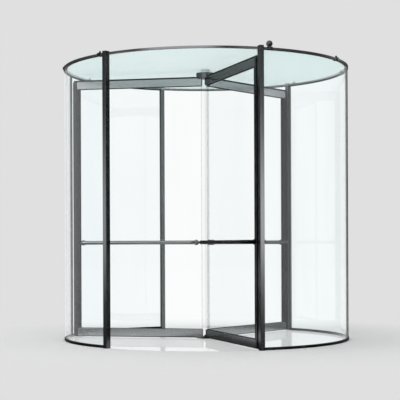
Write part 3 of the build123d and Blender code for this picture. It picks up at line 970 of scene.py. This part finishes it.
# %% [markdown]
# A wing has a broad brush on its top rail, and slim ones under its bottom rail and along its stile. The
# frame holds them as plain strips. Their reach comes from there, and the bristles then stand in for them.

# %% Bristles
TOP_BRUSH_START = 0.097
BOTTOM_BRUSH_START = 0.105
TOP_BRUSH_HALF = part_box("wing_1_brushes")[1].y
TOP_BRUSH_ROWS = 4
SLIM_BRUSH_HALF = 0.005
SLIM_BRUSH_ROWS = 3
ROW_INSET = 0.002
BRISTLE_SIZES = {"Pitch": 0.0024, "Root": 0.0016, "Tip": 0.0011, "Lean": 0.10, "Seed": 11,
                 "Finish": BRISTLE}


def brush_seals(angle):
    """The seals of one wing: their ends as reach and level, their facing, length, half width and rows."""
    top = ((TOP_BRUSH_START, WING_TOP), (STILE_OUTER, WING_TOP))
    bottom = ((BOTTOM_BRUSH_START, WING_BOTTOM), (STILE_OUTER, WING_BOTTOM))
    edge = ((STILE_OUTER, WING_BOTTOM), (STILE_OUTER, WING_TOP))
    outward = plan_direction(angle)
    return [(top, UP, BRUSH_TOP - WING_TOP, TOP_BRUSH_HALF, TOP_BRUSH_ROWS),
            (bottom, -UP, WING_BOTTOM - BRUSH_BOTTOM, SLIM_BRUSH_HALF, SLIM_BRUSH_ROWS),
            (edge, outward, BRUSH_OUTER - STILE_OUTER, SLIM_BRUSH_HALF, SLIM_BRUSH_ROWS)]


bristle_lines = []
for angle in WING_ANGLES.values():
    for ends, facing, length, half_width, rows in brush_seals(angle):
        for row in range(rows):
            across = (half_width - ROW_INSET) * (2 * row / (rows - 1) - 1)
            points = [plan_point(angle, out, across, up) for out, up in ends]
            bristle_lines.append(guide_line(points, facing, length))
bristles = grow("wing_bristles", bristle_lines, bristle_tree, "rotor", "brush", **BRISTLE_SIZES)
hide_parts(*[f"{wing}_brushes" for wing in WING_ANGLES])

# %% [markdown]
# ## Straight bars of one section
# The brush holders and fins, the joint profiles between the wall panes, the clear seals and the end caps are
# all straight bars of one section. A bmesh helper sets the section at both ends, joins the rings and closes
# the ends. Where an edge would catch the light, a bevel rounds it.

# %% Bar helper
BEVEL_STEPS = 2


def add_bar(bm, section, start, end, first_axis, second_axis):
    """A closed straight bar: the section's points are given along two axes."""
    rings = []
    for place in (start, end):
        rings.append([bm.verts.new(place + first_axis * a + second_axis * b) for a, b in section])
    count = len(section)
    for i in range(count):
        j = (i + 1) % count
        bm.faces.new((rings[0][i], rings[0][j], rings[1][j], rings[1][i]))
    bm.faces.new(rings[0])
    bm.faces.new(rings[1])


def finish_piece(name, bm, material, body, edge_rounding=0.0):
    """A piece from a bmesh, with its faces outward and its edges rounded, riding on a body."""
    bmesh.ops.recalc_face_normals(bm, faces=bm.faces)
    mesh = bpy.data.meshes.new(name)
    bm.to_mesh(mesh)
    bm.free()
    mesh.materials.append(material)
    piece = bpy.data.objects.new(name, mesh)
    scene.collection.objects.link(piece)
    if edge_rounding:
        bevel = piece.modifiers.new("rounded edges", "BEVEL")
        bevel.width = edge_rounding
        bevel.segments = BEVEL_STEPS
        bevel.limit_method = "ANGLE"
    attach(piece, body)
    print(name, "faces:", len(mesh.polygons))


print("bar helper ready")

# %% [markdown]
# A brush holder is a folded strip whose lips slope in and pinch the bristles at their root. It runs the whole
# length of its brush, so one bar with a six-sided section will do.

# %% Brush holders
HOLDER_SHARE = 0.36
HOLDER_CROWN = 1.2
HOLDER_SLOPE = 0.001
bm = bmesh.new()
for angle in WING_ANGLES.values():
    across = plan_direction(angle + 90.0)
    for ends, facing, length, half_width, _ in brush_seals(angle):
        shoulder = length * HOLDER_SHARE
        crown = shoulder * HOLDER_CROWN
        pinch = half_width - HOLDER_SLOPE
        lips = [(-half_width, 0.0), (half_width, 0.0), (half_width, shoulder), (pinch, crown),
                (-pinch, crown), (-half_width, shoulder)]
        start, end = [plan_point(angle, out, 0.0, up) for out, up in ends]
        add_bar(bm, lips, start, end, across, facing)
finish_piece("brush_holders", bm, RUBBER, "rotor")

# %% [markdown]
# Between the rows of bristles stands a thin rubber fin, which stops the draught that bristles alone let
# through. It starts at the holder's crown, thins out and ends a little short of the tips.

# %% Brush fins
FIN_HALF = 0.0007
FIN_TIP_HALF = FIN_HALF * 0.6
FIN_SHARE = 0.94
bm = bmesh.new()
for angle in WING_ANGLES.values():
    across = plan_direction(angle + 90.0)
    for ends, facing, length, *_ in brush_seals(angle):
        root = length * HOLDER_SHARE * HOLDER_CROWN
        tip = length * FIN_SHARE
        fin = [(-FIN_HALF, root), (FIN_HALF, root), (FIN_TIP_HALF, tip), (-FIN_TIP_HALF, tip)]
        start, end = [plan_point(angle, out, 0.0, up) for out, up in ends]
        add_bar(bm, fin, start, end, across, facing)
finish_piece("brush_fins", bm, RUBBER, "rotor")

# %% [markdown]
# The two panes of each bent wall meet at its middle in a black joint profile of H section. Seen from the
# front it stands edge-on and draws the dark line down the right side of the door. Half of the section is
# written out, and the other half is the same turned about the middle.

# %% Pane joints
JOINT_LIP = 0.0045
JOINT_HALF = 0.008
JOINT_WEB_HALF = 0.0018
JOINT_ROUNDING = 0.0006
lip = GLASS_HALF + JOINT_LIP
half_joint = [(lip, -JOINT_HALF), (lip, JOINT_HALF), (GLASS_HALF, JOINT_HALF),
              (GLASS_HALF, JOINT_WEB_HALF), (-GLASS_HALF, JOINT_WEB_HALF), (-GLASS_HALF, JOINT_HALF)]
joint_section = half_joint + [(-a, -b) for a, b in half_joint]
wall_middle = (WALL_INNER + WALL_OUTER) / 2
bm = bmesh.new()
for angle in (0.0, 180.0):
    ends = [plan_point(angle, wall_middle, 0.0, up) for up in (TRACK_TOP, RIM_BOTTOM)]
    add_bar(bm, joint_section, *ends, plan_direction(angle), plan_direction(angle + 90.0))
finish_piece("pane_joints", bm, RUBBER, "enclosure", JOINT_ROUNDING)

# %% [markdown]
# There is no shaft between the wings. A clear soft seal on each wing's free glass edge closes the middle, so
# that little shows there but two faint lines. It grips the pane on both faces and tapers to a blunt nose.

# %% Centre seals
SEAL_INNER = 0.008
SEAL_GRIP = 0.006
SEAL_WALL = 0.0015
NOSE_HALF = 0.002
CHEEK_PLACE, CHEEK_SHARE = -0.4, 0.8
seal_half = GLASS_HALF + SEAL_WALL
seal_middle = (SEAL_INNER + GLASS_INNER) / 2
half_length = (GLASS_INNER - SEAL_INNER) / 2
grip_end = half_length + SEAL_GRIP
cheek = (half_length * CHEEK_PLACE, seal_half * CHEEK_SHARE)
one_side = [(-half_length, NOSE_HALF), cheek, (grip_end, seal_half), (grip_end, GLASS_HALF),
            (half_length, GLASS_HALF)]
seal_section = [(a, -b) for a, b in one_side] + one_side[::-1]
bm = bmesh.new()
for angle in WING_ANGLES.values():
    ends = [plan_point(angle, seal_middle, 0.0, up) for up in (SIGHT_BOTTOM, SIGHT_TOP)]
    add_bar(bm, seal_section, *ends, plan_direction(angle), plan_direction(angle + 90.0))
finish_piece("centre_seals", bm, CLEAR_SEAL, "rotor")

# %% [markdown]
# Cut profiles are closed by caps. Each rail has a thin plate on its end at the hub, a little smaller than the
# rail so that a shadow line runs round it.

# %% Rail end caps
CAP_THICKNESS = 0.002
CAP_INSET = 0.001
CAP_ROUNDING = 0.0006
CAP_FACE = RAIL_INNER - CAP_THICKNESS


def box_section(half_a, half_b):
    """A rectangle's corners."""
    return [(-half_a, -half_b), (half_a, -half_b), (half_a, half_b), (-half_a, half_b)]


bm = bmesh.new()
rail_spans = ((WING_BOTTOM, SIGHT_BOTTOM), (SIGHT_TOP, WING_TOP))
for angle in WING_ANGLES.values():
    for low, high in rail_spans:
        section = box_section(WING_HALF - CAP_INSET, (high - low) / 2 - CAP_INSET)
        ends = [plan_point(angle, out, 0.0, (low + high) / 2) for out in (CAP_FACE, RAIL_INNER)]
        add_bar(bm, section, *ends, plan_direction(angle + 90.0), UP)
finish_piece("rail_end_caps", bm, FITTING_METAL, "rotor", CAP_ROUNDING)

# %% [markdown]
# Each post has a lid on top that keeps dust out of the profile. It is a thicker plate than a rail's cap, with
# softer edges, and it too is a little smaller than what it closes.

# %% Post lids
POST_RADIUS = 1.404
POST_HALF_DEPTH = 0.028
POST_TOP = heights("front_left_post")[1]
LID_THICKNESS = 0.003
LID_TOP = POST_TOP + LID_THICKNESS
LID_INSET = 0.002
LID_ROUNDING = 0.0012
bm = bmesh.new()
for angle in POST_ANGLES.values():
    section = box_section(POST_HALF_DEPTH - LID_INSET, POST_HALF_WIDTH - LID_INSET)
    ends = [plan_point(angle, POST_RADIUS, 0.0, up) for up in (POST_TOP, LID_TOP)]
    add_bar(bm, section, *ends, plan_direction(angle), plan_direction(angle + 90.0))
finish_piece("post_lids", bm, FITTING_METAL, "enclosure", LID_ROUNDING)

# %% [markdown]
# ## Screws
# Small socket screws hold the ceiling cap, the hub, the foot plate, the clamps, the lids and the end caps.
# One tree makes the head, a short taper with a sunk socket, and sets a copy on each guide point, turned the
# way the point faces. The socket is the head's top face drawn in and then pushed down.

# %% Screw tree
HEAD_SIDES = 12
HEAD_TAPER = 0.82
SOCKET_DEPTH = -0.7
screw_tree, screw_in = start_tree("socket_screw", Head_radius="NodeSocketFloat",
                                  Head_height="NodeSocketFloat", Socket_share="NodeSocketFloat")
top_radius = math_node(screw_tree, "MULTIPLY", screw_in["Head_radius"], HEAD_TAPER)
head = add_node(screw_tree, "GeometryNodeMeshCone", Vertices=HEAD_SIDES, Radius_Top=top_radius,
                Radius_Bottom=screw_in["Head_radius"], Depth=screw_in["Head_height"])
rim_step = add_node(screw_tree, "GeometryNodeExtrudeMesh", {"mode": "FACES"}, Mesh=head.outputs["Mesh"],
                    Selection=head.outputs["Top"], Offset_Scale=0.0)
socket_edge = add_node(screw_tree, "GeometryNodeScaleElements", {"domain": "FACE"},
                       Geometry=rim_step.outputs["Mesh"], Selection=rim_step.outputs["Top"],
                       Scale=screw_in["Socket_share"])
socket_depth = math_node(screw_tree, "MULTIPLY", screw_in["Head_height"], SOCKET_DEPTH)
socket_cut = add_node(screw_tree, "GeometryNodeExtrudeMesh", {"mode": "FACES"}, Mesh=socket_edge.outputs[0],
                      Selection=rim_step.outputs["Top"], Offset_Scale=socket_depth)
screw_stand = stand_along(screw_tree, carried(screw_tree, "facing", "FLOAT_VECTOR"))
screws = add_node(screw_tree, "GeometryNodeInstanceOnPoints", Points=screw_in["Guide"],
                  Instance=socket_cut.outputs["Mesh"], Rotation=screw_stand)
end_tree(screw_tree, screws.outputs[0], screw_in["Finish"])
print("screw tree nodes:", len(screw_tree.nodes))

# %% [markdown]
# On the fixed side, six screws hold the ceiling cap, one holds each clamp and each lid, and two hold the
# sensor's saddle to the rim.

# %% Fixed screws
SCREW_SIZES = {"Head_radius": 0.0055, "Head_height": 0.0030, "Socket_share": 0.5, "Finish": FITTING_METAL}
CAP_TOP = heights("ceiling_cap")[1]
CAP_SCREW_CIRCLE = 0.035
CAP_SCREW_ANGLES = (0.0, 60.0, 120.0, 180.0, 240.0, 300.0)
CLAMP_TOP = heights("left_ceiling_clamps")[1]
CLAMP_ANGLES = (-18.75, 18.75, 56.25, 123.75, 161.25, 198.75, 236.25)
SENSOR_ANGLE = -56.25
SADDLE_FACE = 1.411
SADDLE_LEVEL = 2.661
SADDLE_SCREW_OFF = 0.017
screw_places = [plan_point(angle, CAP_SCREW_CIRCLE, 0.0, CAP_TOP) for angle in CAP_SCREW_ANGLES]
screw_places += [plan_point(angle, wall_middle, 0.0, CLAMP_TOP) for angle in CLAMP_ANGLES]
screw_places += [plan_point(angle, POST_RADIUS, 0.0, LID_TOP) for angle in POST_ANGLES.values()]
fixed_screws = [guide_line([place]) for place in screw_places]
for across in (-SADDLE_SCREW_OFF, SADDLE_SCREW_OFF):
    place = plan_point(SENSOR_ANGLE, SADDLE_FACE, across, SADDLE_LEVEL)
    fixed_screws.append(guide_line([place], plan_direction(SENSOR_ANGLE)))
grow("fixed_screws", fixed_screws, screw_tree, "enclosure", "fitting_metal", **SCREW_SIZES)

# %% [markdown]
# On the rotor, a pair of screws beside each wing goes up into the hub, another pair goes down into the foot
# plate, and each rail's end cap has two.

# %% Moving screws
HUB_BOTTOM = heights("top_hub")[0]
FOOT_TOP = heights("foot_plate")[1]
HUB_SCREW_CIRCLE = 0.074
HUB_SCREW_TURN = 38.0
CAP_SCREW_SHARES = (0.25, 0.75)
moving_screws = []
for angle in WING_ANGLES.values():
    for turn in (HUB_SCREW_TURN, -HUB_SCREW_TURN):
        for level, facing in ((HUB_BOTTOM, -UP), (FOOT_TOP, UP)):
            place = plan_point(angle + turn, HUB_SCREW_CIRCLE, 0.0, level)
            moving_screws.append(guide_line([place], facing))
    for low, high in rail_spans:
        for share in CAP_SCREW_SHARES:
            place = plan_point(angle, CAP_FACE, 0.0, low + (high - low) * share)
            moving_screws.append(guide_line([place], -plan_direction(angle)))
grow("moving_screws", moving_screws, screw_tree, "rotor", "fitting_metal", **SCREW_SIZES)

# %% [markdown]
# ## Turned parts
# The sensor's bezel and lens and the washers under the push bars are round, so each is a profile turned about
# an axis. The profile is a few pairs of radius and height. One that starts or ends at radius zero closes in a
# pole, and one that does neither closes on itself.

# %% Turning helper
TURN_SIDES = 28


def add_turned(bm, profile, centre, axis):
    """A profile of radius and height pairs, turned about an axis through a point."""
    side = axis.orthogonal().normalized()
    other = axis.cross(side)
    turns = [math.tau * i / TURN_SIDES for i in range(TURN_SIDES)]
    spokes = [side * math.cos(turn) + other * math.sin(turn) for turn in turns]
    rings = []
    for radius, height in profile:
        middle = centre + axis * height
        if radius == 0.0:
            rings.append([bm.verts.new(middle)])
        else:
            rings.append([bm.verts.new(middle + spoke * radius) for spoke in spokes])
    pairs = list(zip(rings, rings[1:]))
    if all(len(ring) > 1 for ring in rings):
        pairs.append((rings[-1], rings[0]))
    for low, high in pairs:
        for i in range(TURN_SIDES):
            j = (i + 1) % TURN_SIDES
            corners = [low[i % len(low)], low[j % len(low)], high[j % len(high)], high[i % len(high)]]
            bm.faces.new(list(dict.fromkeys(corners)))


print("turning helper ready, sides:", TURN_SIDES)

# %% [markdown]
# The movement sensor on the rim looks outwards and down at who comes near. A raised bezel frames its dark,
# domed lens. Both are turned about the line of sight, and only the lens is shaded smooth, because the bezel's
# crisp steps are what makes it read as a ring.

# %% Sensor face
SENSOR_DIP = math.radians(28.0)
SENSOR_RADIUS = 0.029
SENSOR_OUT = 1.390
BEZEL_ROUNDING = 0.0003
sensor_level = heights("movement_sensor")[1] - SENSOR_RADIUS
sensor_middle = plan_point(SENSOR_ANGLE, SENSOR_OUT, 0.0, sensor_level)
sensor_view = plan_direction(SENSOR_ANGLE) * math.cos(SENSOR_DIP) - UP * math.sin(SENSOR_DIP)
bezel = [(0.0120, 0.0240), (0.0158, 0.0232), (0.0160, 0.0262), (0.0150, 0.0274), (0.0128, 0.0276),
         (0.0120, 0.0268)]
lens = [(0.0, 0.0245), (0.0121, 0.0245), (0.0121, 0.0262), (0.0105, 0.0276), (0.0075, 0.0288),
        (0.0040, 0.0296), (0.0, 0.0299)]
bm = bmesh.new()
add_turned(bm, bezel, sensor_middle, sensor_view)
finish_piece("sensor_bezel", bm, FITTING_METAL, "enclosure", BEZEL_ROUNDING)
bm = bmesh.new()
add_turned(bm, lens, sensor_middle, sensor_view)
for face in bm.faces:
    face.smooth = True
finish_piece("sensor_lens", bm, LENS, "enclosure")

# %% [markdown]
# Each foot of a push bar presses on the glass through a thin rubber washer, which shows as a dark ring round
# the foot. Two feet on each face of a wing make twelve.

# %% Bar washers
BAR_HEIGHT = sum(heights("wing_1_push_bars")) / 2
BAR_FEET = (0.100, 1.266)
washer = [(0.0200, 0.0), (0.0266, 0.0), (0.0272, 0.0005), (0.0272, 0.0012), (0.0266, 0.0017),
          (0.0200, 0.0017)]
bm = bmesh.new()
for angle in WING_ANGLES.values():
    for out in BAR_FEET:
        for side in (1, -1):
            centre = plan_point(angle, out, side * GLASS_HALF, BAR_HEIGHT)
            add_turned(bm, washer, centre, plan_direction(angle + 90.0) * side)
finish_piece("bar_washers", bm, RUBBER, "rotor")
